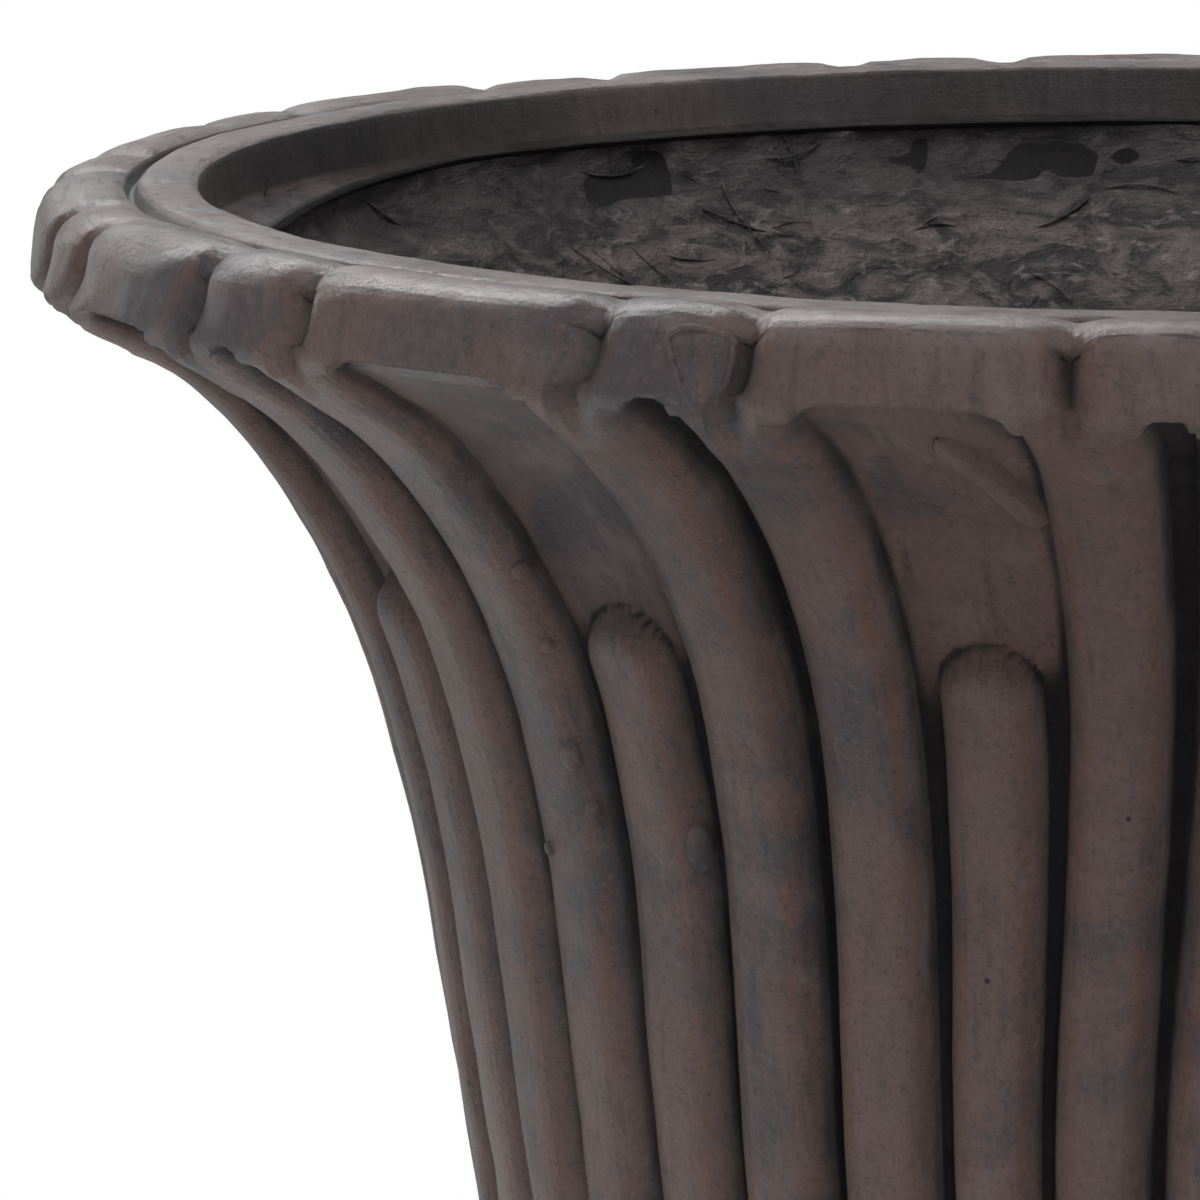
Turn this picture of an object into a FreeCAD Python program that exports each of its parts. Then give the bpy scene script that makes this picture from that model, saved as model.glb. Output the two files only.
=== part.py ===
import FreeCAD, Part
import Sketcher
import math
import os

# Fluted urn planter, in millimetres. Z is up, the plinth's pads stand on Z = 0 and the axis
# of the urn is the Z axis. A cast bowl with a leaf-tipped rim and a ring set into it sits on a
# hollow pedestal and is held by one bolt down the axis; a drain plug lifts out of its floor.

doc = FreeCAD.newDocument("UrnPlanter")
sheet = doc.addObject("Spreadsheet::Sheet", "Dims")

DRIVING_DIMENSIONS = [
    # rim and inner ring, depths measured down from the ring's flat top
    ("ringInner", 222, "inner radius of the flat ring"),
    ("ringWidth", 13, "width of the ring's flat top"),
    ("ringWallDepth", 11, "height of the ring's smooth inner wall"),
    ("ringWallLean", 2, "how far that wall leans inwards"),
    ("ledgeWidth", 10.5, "width of the sloping ledge under the ring's wall"),
    ("ledgeDrop", 4, "fall of the ledge"),
    ("ledgeEdge", 3, "thickness of the ledge's edge"),
    ("seamWidth", 1.5, "width of the seam between ring and leaf tips"),
    # leaf tips
    ("crownRise", 3, "how far the leaf tips' crown stands over the ring"),
    ("crownDrop", 4, "depth where that crown meets the leaf tips' face"),
    ("crownWidth", 8, "width of the crown's rounded edge"),
    ("lipRadius", 260, "radius of the leaf tips"),
    ("lipLean", 2.5, "how far the leaf tips lean outwards"),
    ("lipDepth", 13, "height of the leaf tips' outer face"),
    # leaves and flutes
    ("leafCount", 15, "wide leaves round the rim, one short reed each"),
    ("leafTurn", 3.4, "turn of the pattern about the axis, degrees"),
    ("narrowShare", 0.3333, "a narrow leaf's width as a part of a narrow and a wide leaf"),
    ("notchWidth", 15, "width of the notch between two leaf tips"),
    ("creaseDepth", 3.5, "depth of the crease down the leaf tips' face"),
    ("ribHeight", 9, "height of the ribs over the panels"),
    ("grooveTurn", 1.5, "width of the groove between two ribs, degrees round the axis"),
    ("ribShoulder", 0.72, "width of a rib between its shoulders as a part of its width"),
    ("ribRound", 0.3, "drop of its shoulders as a part of its height"),
    ("reedTip", 10, "height of a short reed's rounded top"),
    ("reedDepth", 77, "depth of the short reeds' rounded tops under the ring"),
    ("reedShare", 0.9, "width of a short reed as a part of a long rib's"),
    ("reedTipShare", 0.6, "width of its rounded top as a part of its own"),
    ("seatStep", 1, "height of the plain seat under the ribs"),
    # the flare that the ribs' crests follow, from the lip down; angles are from the vertical
    ("crestRadius", 250, "crest radius where the roll ends and the flare begins"),
    ("crestDepth", 25.4, "depth of that point under the ring"),
    ("rollRadius", 15, "radius of the roll under the lip"),
    ("flareAngle", 66.8, "crest angle where the flare begins"),
    ("upperAngle", 39.6, "crest angle after the upper arc"),
    ("middleAngle", 19.2, "crest angle after the middle arc"),
    ("taperAngle", 9.3, "crest angle of the straight taper"),
    ("upperArc", 94, "radius of the flare's upper arc"),
    ("middleArc", 155, "radius of the flare's middle arc"),
    ("lowerArc", 348, "radius of the flare's lower arc"),
    ("bellyArc", 80, "radius of the rounded underside"),
    ("bowlHeight", 386, "height of the bowl from its seat to the ring's top"),
    ("seatRadius", 80, "radius of the bowl's seat"),
    # walls
    ("wall", 8, "thickness of the cast wall behind the panels"),
    ("floorFill", 7, "extra thickness of the bowl's floor"),
    ("undercutAngle", 50, "crest angle where the inner wall begins under the ledge"),
    ("liningThickness", 3.5, "thickness of the fibre mat"),
    ("liningFit", 0.4, "clearance between mat and cast wall"),
    ("liningSetback", 3, "drop of the mat's top edge under the undercut, degrees of the flare"),
    ("stripCount", 30, "strips of mat laid up side by side round the well"),
    # pedestal
    ("pedestalHeight", 265, "height of the pedestal"),
    ("plinthWidth", 280, "width of the square plinth"),
    ("plinthHeight", 46, "height of the square plinth"),
    ("plinthBevel", 4, "bevel of the plinth's top edges"),
    ("footRadius", 126, "outer radius of the ring on the plinth"),
    ("footRingHeight", 22, "height of that ring"),
    ("footRingStep", 13, "width of the step from that ring to the spreading foot"),
    ("stemRadius", 58, "radius of the stem"),
    ("stemBottom", 182, "height where the spreading foot meets the stem"),
    ("collarBottom", 198, "height of the collar on the stem"),
    ("collarHeight", 14, "height of that collar"),
    ("collarWidth", 8, "how far that collar stands out"),
    ("capHeight", 11, "height of the pedestal's cap"),
    ("stemWall", 10, "wall of the hollow stem"),
    ("plateThickness", 13, "thickness of the pedestal's top plate"),
    ("padThickness", 4, "thickness of the rubber pads"),
    ("padWidth", 30, "width of the square rubber pads"),
    ("padInset", 3, "distance of a pad from the plinth's sides"),
    ("gasketThickness", 3, "thickness of the joint gasket"),
    ("gasketWidth", 24, "width of the joint gasket"),
    ("gasketInset", 5, "distance of the gasket from the seat's edge"),
    # centre bolt, an M10 hex bolt with its washers and nut
    ("boltRadius", 5, "radius of the bolt's shank"),
    ("boltClearance", 0.75, "radial clearance of the bolt in its holes"),
    ("threadClearance", 0.1, "radial clearance of the nut on the bolt"),
    ("hexWidth", 17, "width across flats of head and nut"),
    ("headHeight", 6.4, "height of the bolt's head"),
    ("nutHeight", 8.4, "height of the nut"),
    ("boltEnd", 6, "length of bolt below the nut"),
    ("washerRadius", 13, "radius of the washers on the bolt"),
    ("washerThickness", 2, "thickness of the steel washers"),
    ("sealThickness", 3, "thickness of the rubber washer"),
    ("lowerWasherRadius", 16, "radius of the wide washer under the plate"),
    # drain
    ("drainOffset", 33, "distance of the drain hole from the axis"),
    ("drainRadius", 11, "radius of the drain hole"),
    ("drainClearance", 0.4, "radial clearance of the plug in the hole"),
    ("plugLength", 25, "length of the plug below its flange"),
    ("plugFlange", 4, "how far the plug's flange stands out past the hole"),
    ("plugFlangeHeight", 3.5, "height of that flange"),
    ("plugKnobRadius", 5, "radius of the plug's pull knob"),
    ("plugKnobHeight", 9, "height of the pull knob over the flange"),
    ("plateDrainMargin", 3, "how much wider the plate's drain hole is"),
]

sheet.set("A1", "Dimension")
sheet.set("B1", "Value")
sheet.set("C1", "What it is")
for line, (alias, value, note) in enumerate(DRIVING_DIMENSIONS, start=2):
    sheet.set(f"A{line}", alias)
    sheet.set(f"B{line}", str(value))
    sheet.setAlias(f"B{line}", alias)
    sheet.set(f"C{line}", note)
doc.recompute()


class Size:
    """A length or angle that carries both its value and the expression that drives it."""

    def __init__(self, value, text):
        self.value = value
        self.text = text

    @staticmethod
    def of(other):
        return other if isinstance(other, Size) else Size(float(other), repr(other))

    def join(self, other, sign, value):
        return Size(value, f"({self.text} {sign} {Size.of(other).text})")

    def __add__(self, other):
        return self.join(other, "+", self.value + Size.of(other).value)

    def __sub__(self, other):
        return self.join(other, "-", self.value - Size.of(other).value)

    def __mul__(self, other):
        return self.join(other, "*", self.value * Size.of(other).value)

    def __truediv__(self, other):
        return self.join(other, "/", self.value / Size.of(other).value)

    def __neg__(self):
        return Size(-self.value, f"(0 - {self.text})")


def dim(alias):
    return Size(float(sheet.get(alias)), f"Dims.{alias}")


def cosine(angle):
    return Size(math.cos(math.radians(angle.value)), f"cos({angle.text})")


def sine(angle):
    return Size(math.sin(math.radians(angle.value)), f"sin({angle.text})")


def tangent(angle):
    return Size(math.tan(math.radians(angle.value)), f"tan({angle.text})")


def root(square):
    return Size(math.sqrt(square.value), f"sqrt({square.text})")


def angle_of_sine(ratio):
    degrees = math.degrees(math.asin(ratio.value))
    return Size(degrees, f"(asin({ratio.text}) / 1deg)")


ZERO = Size(0.0, "0")
FULL_TURN = Size.of(360)
# Heights above the ground, from the pads up to the rim.
plinth_bottom = dim("padThickness")
pedestal_top = plinth_bottom + dim("pedestalHeight")
bowl_seat = pedestal_top + dim("gasketThickness")
ring_top = bowl_seat + dim("bowlHeight")


# ---- Sketch helpers -------------------------------------------------------------------------

def origin_plane(body, role):
    return next(feature for feature in body.Origin.OriginFeatures if feature.Role == role)


def new_body(label):
    body = doc.addObject("PartDesign::Body", label)
    body.Label = label
    return body


def new_sketch(body, name, role="XY_Plane"):
    sketch = body.newObject("Sketcher::SketchObject", name)
    sketch.AttachmentSupport = [(origin_plane(body, role), "")]
    sketch.MapMode = "FlatFace"
    return sketch


def hold(sketch, constraint, size):
    """Adds a dimension to the sketch and drives it from the sheet."""
    index = sketch.addConstraint(constraint)
    sketch.setExpression(f"Constraints[{index}]", size.text)


def hold_point(sketch, edge, end, spot):
    """Ties one end of an edge to a place given by two sizes, measured from the origin."""
    for kind, size in (("DistanceX", spot[0]), ("DistanceY", spot[1])):
        hold(sketch, Sketcher.Constraint(kind, -1, 1, edge, end, size.value), size)


def draw_loop(sketch, corners):
    """Draws a closed outline of straight edges through the corners, all driven by the sheet."""
    count = len(corners)
    base = sketch.GeometryCount
    for index in range(count):
        start, end = corners[index - 1], corners[index]
        first = FreeCAD.Vector(start[0].value, start[1].value, 0)
        last = FreeCAD.Vector(end[0].value, end[1].value, 0)
        sketch.addGeometry(Part.LineSegment(first, last), False)
    for index in range(count):
        following = base + (index + 1) % count
        sketch.addConstraint(Sketcher.Constraint("Coincident", base + index, 2, following, 1))
    for index, corner in enumerate(corners):
        hold_point(sketch, base + index, 2, corner)


def turn(kind, body, sketch):
    """Turns a half outline about the body's upright axis, as a Revolution or a Groove."""
    feature = body.newObject("PartDesign::" + kind, sketch.Name + "Turned")
    feature.Profile = (sketch, [""])
    feature.ReferenceAxis = (sketch, ["V_Axis"])
    feature.Angle = 360
    feature.Refine = False
    return feature


def half_outline(body, name, *loops):
    """A sketch in the body's XZ plane holding half outlines of (radius, height) corners."""
    sketch = new_sketch(body, name, "XZ_Plane")
    for corners in loops:
        draw_loop(sketch, corners)
    return sketch


def level_sketch(body, name, height):
    sketch = new_sketch(body, name)
    sketch.setExpression("AttachmentOffset.Base.z", height.text)
    return sketch


def draw_circles(sketch, circles):
    """Circles, each (x, radius), with their centres on the sketch's X axis."""
    for index, (x, radius) in enumerate(circles):
        centre = FreeCAD.Vector(x.value, 0, 0)
        sketch.addGeometry(Part.Circle(centre, FreeCAD.Vector(0, 0, 1), radius.value), False)
        hold(sketch, Sketcher.Constraint("Radius", index, radius.value), radius)
        hold_point(sketch, index, 3, (x, ZERO))


def extrude(kind, body, sketch, length, backwards=False):
    """Pads a level sketch upwards or pockets it downwards, or the other way when backwards."""
    feature = body.newObject("PartDesign::" + kind, sketch.Name + kind)
    feature.Profile = sketch
    feature.setExpression("Length", length.text)
    feature.Reversed = backwards
    feature.Refine = False
    return feature


def place(body, x, height):
    body.setExpression("Placement.Base.x", x.text)
    body.setExpression("Placement.Base.z", height.text)


# ---- The flare: the line that the ribs' crests follow ---------------------------------------

class Flare:
    """The crest line of the ribs in the (radius, height) plane: a roll under the lip, three
    tangent arcs, a straight taper and a rounded underside. The panels behind the ribs and the
    inner wall are the same line set inwards by an inset."""

    def __init__(self):
        self.angles = [dim("flareAngle"), dim("upperAngle"), dim("middleAngle"), dim("taperAngle")]
        self.radii = [dim("upperArc"), dim("middleArc"), dim("lowerArc")]
        start = (dim("crestRadius"), ring_top - dim("crestDepth"))
        self.roll = self.shift(start, self.angles[0], -dim("rollRadius"))
        self.centres = [self.shift(start, self.angles[0], self.radii[0])]
        for index in (1, 2):
            change = self.radii[index] - self.radii[index - 1]
            self.centres.append(self.shift(self.centres[-1], self.angles[index], change))
        taper = self.angles[3]
        self.taper_top = self.shift(self.centres[2], taper, -self.radii[2])
        belly_height = bowl_seat + dim("bellyArc")
        taper_end = belly_height - dim("bellyArc") * sine(taper)
        run = (self.taper_top[1] - taper_end) * tangent(taper)
        self.taper_bottom = (self.taper_top[0] - run, taper_end)
        self.belly = (self.taper_bottom[0] - dim("bellyArc") * cosine(taper), belly_height)

    @staticmethod
    def shift(spot, angle, distance):
        """Moves a spot outwards along the crest's normal."""
        return (spot[0] + distance * cosine(angle), spot[1] - distance * sine(angle))

    def on_arc(self, index, angle, inset):
        return self.shift(self.centres[index], angle, -(self.radii[index] + inset))

    def on_belly(self, angle, inset):
        return self.shift(self.belly, angle, dim("bellyArc") - inset)

    def taper_ends(self, inset):
        taper = self.angles[3]
        return self.on_arc(2, taper, inset), self.on_belly(taper, inset)

    def radius_at(self, height, inset):
        """The line's radius at a height, for any inset."""
        for index in range(3):
            end = self.on_arc(index, self.angles[index + 1], inset)
            if height.value >= end[1].value:
                rise = height - self.centres[index][1]
                reach = self.radii[index] + inset
                return self.centres[index][0] - root(reach * reach - rise * rise)
        top, bottom = self.taper_ends(inset)
        if height.value >= bottom[1].value:
            return top[0] - (top[1] - height) * tangent(self.angles[3])
        drop = self.belly[1] - height
        reach = dim("bellyArc") - inset
        return self.belly[0] + root(reach * reach - drop * drop)

    def roll_radius(self, height):
        """The radius of the roll under the lip at a height above the flare."""
        drop = self.roll[1] - height
        return self.roll[0] + root(dim("rollRadius") * dim("rollRadius") - drop * drop)

    def level_angle(self, height, inset):
        """The angle on the belly where the line reaches a height."""
        return angle_of_sine((self.belly[1] - height) / (dim("bellyArc") - inset))


flare = Flare()
inner_inset = dim("ribHeight") + dim("wall")
floor_top = bowl_seat + inner_inset + dim("floorFill")
lining_floor = floor_top + dim("liningThickness")
plate_bottom = pedestal_top - dim("plateThickness")
bolt_hole = dim("boltRadius") + dim("boltClearance")


# ---- Bowl -----------------------------------------------------------------------------------

def crest_level(height):
    return (flare.radius_at(height, ZERO), height)


def rib_points(middle, half, height):
    """A rib on a unit outline: (azimuth, radius) of root, shoulder, crest, shoulder and root."""
    shoulder_turn = half * dim("ribShoulder").value
    shoulder_radius = 1 - height * dim("ribRound").value
    return [(middle - half, 1 - height), (middle - shoulder_turn, shoulder_radius), (middle, 1.0),
            (middle + shoulder_turn, shoulder_radius), (middle + half, 1 - height)]


def flat_sided(outline, levels):
    """A solid with flat sides through one outline of (azimuth, reach), made larger or smaller
    for each level of (radius, height)."""
    rings = [[FreeCAD.Vector(radius.value * reach * math.cos(math.radians(azimuth)),
                             radius.value * reach * math.sin(math.radians(azimuth)),
                             height.value) for azimuth, reach in outline]
             for radius, height in levels]
    faces = [Part.Face(Part.makePolygon(ring + ring[:1])) for ring in (rings[0], rings[-1])]
    for upper, lower in zip(rings, rings[1:]):
        for index in range(len(outline)):
            corners = [upper[index - 1], upper[index], lower[index], lower[index - 1]]
            faces.append(Part.Face(Part.makePolygon(corners + corners[:1])))
    shell = Part.makeShell(faces)
    shell.sewShape()
    return Part.Solid(shell)


class Leaves:
    """One narrow and one wide leaf, from the middle of the narrow one on. Its outlines are
    lists of (azimuth, radius) with the crests at radius 1. Each level section is such an outline
    made larger or smaller, so that all faces between two levels are flat."""

    def __init__(self):
        self.count = int(dim("leafCount").value)
        self.period = FULL_TURN.value / self.count
        self.rib = self.period * dim("narrowShare").value / 2
        self.rib_half = self.rib - dim("grooveTurn").value / 2

    def flutes(self, reed_share):
        """Long ribs below the notches and, when it has a share, a short reed between them."""
        height = dim("ribHeight").value / crest_level(ring_top - dim("reedDepth"))[0].value
        points = [(0.0, 1 - height)] + rib_points(self.rib, self.rib_half, height)
        if reed_share > 0:
            half = self.rib_half * dim("reedShare").value * reed_share
            points += rib_points(self.period / 2, half, height)
        return points + rib_points(self.period - self.rib, self.rib_half, height)

    def lip(self):
        """The leaf tips, with a crease between two rounded corners at each notch."""
        crease = 1 - dim("creaseDepth").value / dim("lipRadius").value
        corner = math.degrees(dim("notchWidth").value / 2 / dim("lipRadius").value)
        points = [(0.0, 1.0)]
        for notch in (self.rib, self.period - self.rib):
            points += [(notch - corner, 1.0), (notch, crease), (notch + corner, 1.0)]
        third = (self.period - 2 * self.rib) / 3
        points[4:4] = [(self.rib + third, 1.0), (self.rib + 2 * third, 1.0)]
        return points

    def stack(self, outline, levels):
        """A solid ring of leaves through the outline at several levels, each (radius, height)."""
        whole = [(dim("leafTurn").value + leaf * self.period + azimuth, reach)
                 for leaf in range(self.count) for azimuth, reach in outline]
        return flat_sided(whole, levels)


def bowl_blank():
    """The bowl's outside as one solid: leaf tips, plain panels, reed tips, reeds and seat."""
    leaves = Leaves()
    lip_bottom = ring_top - dim("lipDepth")
    crown_top = ring_top + dim("crownRise")
    face_top = (dim("lipRadius") - dim("lipLean"), ring_top - dim("crownDrop"))
    crown_drop = crown_top - face_top[1]
    lip = [(face_top[0] - dim("crownWidth"), crown_top),
           (face_top[0] - dim("crownWidth") / 4, crown_top - crown_drop / 3),
           face_top, (dim("lipRadius"), lip_bottom)]

    reed_top = ring_top - dim("reedDepth")
    crest_top = ring_top - dim("crestDepth")
    upper_middle = (dim("flareAngle") + dim("upperAngle")) / 2
    panels = [(flare.roll_radius(lip_bottom), lip_bottom)]
    panels += [crest_level(height) for height in (
        crest_top, flare.on_arc(0, upper_middle, ZERO)[1],
        flare.on_arc(0, dim("upperAngle"), ZERO)[1], reed_top)]

    reed_full = reed_top - dim("reedTip")
    taper = dim("taperAngle")
    reeds = [crest_level(reed_full), flare.on_arc(2, taper, ZERO)]
    seat_top = bowl_seat + dim("seatStep")
    seat_angle = flare.level_angle(seat_top, ZERO)
    reeds += [flare.on_belly(angle, ZERO)
              for angle in (taper, (taper + seat_angle) / 2, seat_angle)]

    seat_place = FreeCAD.Vector(0, 0, bowl_seat.value)
    seat = Part.makeCylinder(dim("seatRadius").value, 2 * dim("seatStep").value, seat_place)
    rings = [leaves.stack(leaves.flutes(0), panels),
             leaves.stack(leaves.flutes(dim("reedTipShare").value),
                          [crest_level(reed_top), crest_level(reed_full)]),
             leaves.stack(leaves.flutes(1), reeds), seat]
    return leaves.stack(leaves.lip(), lip).fuse(rings)


def wall_line(inset, top, floor):
    """Levels of the inner wall at an inset, from a top height down to a flat floor."""
    taper = dim("taperAngle")
    floor_angle = flare.level_angle(floor, inset)
    line = [(flare.radius_at(top, inset), top), flare.on_arc(0, dim("upperAngle"), inset),
            flare.on_arc(1, dim("middleAngle"), inset), flare.on_arc(2, taper, inset)]
    belly = (taper, (taper + floor_angle) / 2, floor_angle)
    return line + [flare.on_belly(angle, inset) for angle in belly]


def well_core(inset, top, floor):
    """The space inside the strips of mat, which are laid up side by side with flat faces."""
    strips = int(dim("stripCount").value)
    outline = [(FULL_TURN.value * strip / strips, 1.0) for strip in range(strips)]
    return flat_sided(outline, wall_line(inset, top, floor))


def floor_holes(body, name, height, depth):
    holes = level_sketch(body, name, height)
    draw_circles(holes, [(ZERO, bolt_hole), (dim("drainOffset"), dim("drainRadius"))])
    extrude("Pocket", body, holes, depth)


ring_bottom = ring_top - dim("ringWallDepth") - dim("ledgeDrop") - dim("ledgeEdge")
ring_radius = dim("ringInner") + dim("ringWidth")


def make_bowl():
    """The casting: leaves and flutes outside, strips of mat inside and a seat for the ring."""
    blank = doc.addObject("Part::Feature", "BowlBlank")
    blank.Shape = bowl_blank().cut(well_core(inner_inset, ring_bottom, floor_top))
    body = new_body("bowl")
    body.BaseFeature = blank
    seat_radius = ring_radius + dim("seamWidth")
    crown_top = ring_top + dim("crownRise")
    seat = [(ZERO, ring_bottom), (seat_radius, ring_bottom), (seat_radius, crown_top),
            (ZERO, crown_top)]
    turn("Groove", body, half_outline(body, "RingSeat", seat))
    floor_holes(body, "FloorHoles", floor_top, floor_top - bowl_seat)
    return body


def make_inner_ring():
    """The flat ring bonded into the leaf tips, with a smooth inner wall and a sloping ledge."""
    body = new_body("inner_ring")
    wall_radius = dim("ringInner") - dim("ringWallLean")
    wall_bottom = ring_top - dim("ringWallDepth")
    ledge_radius = wall_radius - dim("ledgeWidth")
    section = [(ring_radius, ring_bottom), (ring_radius, ring_top), (dim("ringInner"), ring_top),
               (wall_radius, wall_bottom), (ledge_radius, wall_bottom - dim("ledgeDrop")),
               (ledge_radius, ring_bottom)]
    turn("Revolution", body, half_outline(body, "RingSection", section))
    return body


def make_lining():
    """The fibre mat on the well's wall and floor, with the bolt's and drain's holes."""
    mat = doc.addObject("Part::Feature", "MatBlank")
    inset = inner_inset + dim("liningFit")
    top_angle = dim("undercutAngle") - dim("liningSetback")
    top = flare.on_arc(0, top_angle, inset)[1]
    hollow = well_core(inset + dim("liningThickness"), top, lining_floor)
    mat.Shape = well_core(inset, top, floor_top).cut(hollow)
    body = new_body("fibre_backing")
    body.BaseFeature = mat
    floor_holes(body, "MatHoles", lining_floor, dim("liningThickness"))
    return body


# ---- Pedestal -------------------------------------------------------------------------------

def hollow_curve(corner, reach, rise, steps):
    """Corners along a quarter of an ellipse that curves in under a corner, from below up."""
    spots = []
    for step in range(steps + 1):
        angle = FULL_TURN / 4 * step / steps
        spots.append((corner[0] - reach * sine(angle), corner[1] - rise * cosine(angle)))
    return spots


def centred_square(width):
    half = width / 2
    return [(half, half), (-half, half), (-half, -half), (half, -half)]


def make_pedestal():
    """One casting: a square plinth, a foot that spreads from the stem, a collar and a cap,
    hollow up to the top plate that the bolt and the drain pass through."""
    body = new_body("pedestal")
    plinth_top = plinth_bottom + dim("plinthHeight")
    plinth = level_sketch(body, "PlinthSquare", plinth_bottom)
    draw_loop(plinth, centred_square(dim("plinthWidth")))
    slab = extrude("Pad", body, plinth, dim("plinthHeight"))
    doc.recompute()
    top_edges = [f"Edge{number}" for number, edge in enumerate(slab.Shape.Edges, start=1)
                 if edge.BoundBox.ZMin > plinth_top.value - dim("plinthBevel").value]
    bevel = body.newObject("PartDesign::Chamfer", "PlinthBevel")
    bevel.Base = (slab, top_edges)
    bevel.setExpression("Size", "Dims.plinthBevel")

    foot_bottom = plinth_top + dim("footRingHeight")
    foot_radius = dim("footRadius") - dim("footRingStep")
    stem_bottom = plinth_bottom + dim("stemBottom")
    foot_reach = foot_radius - dim("stemRadius")
    foot_rise = stem_bottom - foot_bottom
    foot_corner = (foot_radius, stem_bottom)
    collar_bottom = plinth_bottom + dim("collarBottom")
    collar_top = collar_bottom + dim("collarHeight")
    collar_radius = dim("stemRadius") + dim("collarWidth")
    cap_bottom = pedestal_top - dim("capHeight")
    cap_reach = dim("seatRadius") - dim("stemRadius")
    stem = [(ZERO, plinth_top), (dim("footRadius"), plinth_top), (dim("footRadius"), foot_bottom)]
    stem += hollow_curve(foot_corner, foot_reach, foot_rise, 3)
    stem += [(dim("stemRadius"), collar_bottom), (collar_radius, collar_bottom),
             (collar_radius, collar_top)]
    under_cap = hollow_curve((dim("seatRadius"), collar_top), cap_reach, collar_top - cap_bottom, 2)
    stem += under_cap[::-1]
    stem += [(dim("seatRadius"), pedestal_top), (ZERO, pedestal_top)]
    turn("Revolution", body, half_outline(body, "Stem", stem))

    hollow = level_sketch(body, "StemHollow", plinth_bottom)
    draw_circles(hollow, [(ZERO, dim("stemRadius") - dim("stemWall"))])
    extrude("Pocket", body, hollow, plate_bottom - plinth_bottom, backwards=True)
    holes = level_sketch(body, "PlateHoles", pedestal_top)
    drain_hole = dim("drainRadius") + dim("plateDrainMargin")
    draw_circles(holes, [(ZERO, bolt_hole), (dim("drainOffset"), drain_hole)])
    extrude("Pocket", body, holes, dim("plateThickness"))
    return body


def make_pads():
    """Four square rubber pads under the corners of the plinth."""
    pads = []
    reach = dim("plinthWidth") / 2 - dim("padInset")
    for x_side in (1, -1):
        for y_side in (1, -1):
            pad = doc.addObject("Part::Box", f"Pad{len(pads) + 1}")
            pad.setExpression("Length", "Dims.padWidth")
            pad.setExpression("Width", "Dims.padWidth")
            pad.setExpression("Height", "Dims.padThickness")
            near = {1: reach - dim("padWidth"), -1: -reach}
            pad.setExpression("Placement.Base.x", near[x_side].text)
            pad.setExpression("Placement.Base.y", near[y_side].text)
            pads.append(pad)
    group = doc.addObject("Part::Compound", "FootPads")
    group.Label = "foot_pads"
    group.Links = pads
    return group


# ---- Gasket, centre bolt and drain plug, each modelled about its own axis --------------------

def make_ring(label, outer, inner, thickness, height):
    body = new_body(label)
    sketch = level_sketch(body, body.Name + "Circles", ZERO)
    draw_circles(sketch, [(ZERO, outer), (ZERO, inner)])
    extrude("Pad", body, sketch, thickness)
    place(body, ZERO, height)
    return body


def hexagon():
    corner = dim("hexWidth") / 2 / cosine(FULL_TURN / 12)
    turns = [FULL_TURN * step / 6 for step in range(6)]
    return [(corner * cosine(angle), corner * sine(angle)) for angle in turns]


def make_bolt(head_seat, nut_seat):
    """Hex bolt whose head sits on its washers and whose end stands out under the nut."""
    body = new_body("centre_bolt")
    head = level_sketch(body, "HeadHexagon", ZERO)
    draw_loop(head, hexagon())
    extrude("Pad", body, head, dim("headHeight"))
    shank = level_sketch(body, "ShankCircle", ZERO)
    draw_circles(shank, [(ZERO, dim("boltRadius"))])
    length = head_seat - nut_seat + dim("nutHeight") + dim("boltEnd")
    extrude("Pad", body, shank, length, backwards=True)
    place(body, ZERO, head_seat)
    return body


def make_nut(nut_seat):
    body = new_body("centre_nut")
    sketch = level_sketch(body, "NutHexagon", ZERO)
    draw_loop(sketch, hexagon())
    extrude("Pad", body, sketch, dim("nutHeight"))
    bore = level_sketch(body, "NutBore", dim("nutHeight"))
    draw_circles(bore, [(ZERO, dim("boltRadius") + dim("threadClearance"))])
    extrude("Pocket", body, bore, dim("nutHeight"))
    place(body, ZERO, nut_seat - dim("nutHeight"))
    return body


def make_plug():
    """Drain plug with a flange that lies on the mat and a knob to pull it out by."""
    body = new_body("drain_plug")
    shank = dim("drainRadius") - dim("drainClearance")
    flange = dim("drainRadius") + dim("plugFlange")
    flange_top = dim("plugFlangeHeight")
    knob_top = flange_top + dim("plugKnobHeight")
    outline = [(ZERO, -dim("plugLength")), (shank, -dim("plugLength")),
               (shank, ZERO), (flange, ZERO), (flange, flange_top),
               (dim("plugKnobRadius"), flange_top), (dim("plugKnobRadius"), knob_top),
               (ZERO, knob_top)]
    turn("Revolution", body, half_outline(body, "PlugOutline", outline))
    place(body, dim("drainOffset"), lining_floor)
    return body


washer = dim("washerThickness")
head_seat = lining_floor + dim("sealThickness") + washer
nut_seat = plate_bottom - washer
gasket_radius = dim("seatRadius") - dim("gasketInset")

nodes = [
    make_bowl(),
    make_inner_ring(),
    make_lining(),
    make_pedestal(),
    make_ring("joint_gasket", gasket_radius, gasket_radius - dim("gasketWidth"),
              dim("gasketThickness"), pedestal_top),
    make_ring("seal_washer", dim("washerRadius"), bolt_hole, dim("sealThickness"), lining_floor),
    make_ring("upper_washer", dim("washerRadius"), bolt_hole, washer, head_seat - washer),
    make_ring("lower_washer", dim("lowerWasherRadius"), bolt_hole, washer, nut_seat),
    make_bolt(head_seat, nut_seat),
    make_nut(nut_seat),
    make_plug(),
    make_pads(),
]
doc.recompute()

# ---- Checks and files -------------------------------------------------------------------------

for item in doc.Objects:
    if "Invalid" in item.State or "Error" in item.State:
        raise RuntimeError(f"{item.Name} failed: {item.State}")
for node in nodes:
    if node.Shape.isNull() or not node.Shape.isValid():
        raise RuntimeError(f"{node.Label} has no valid shape")

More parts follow.
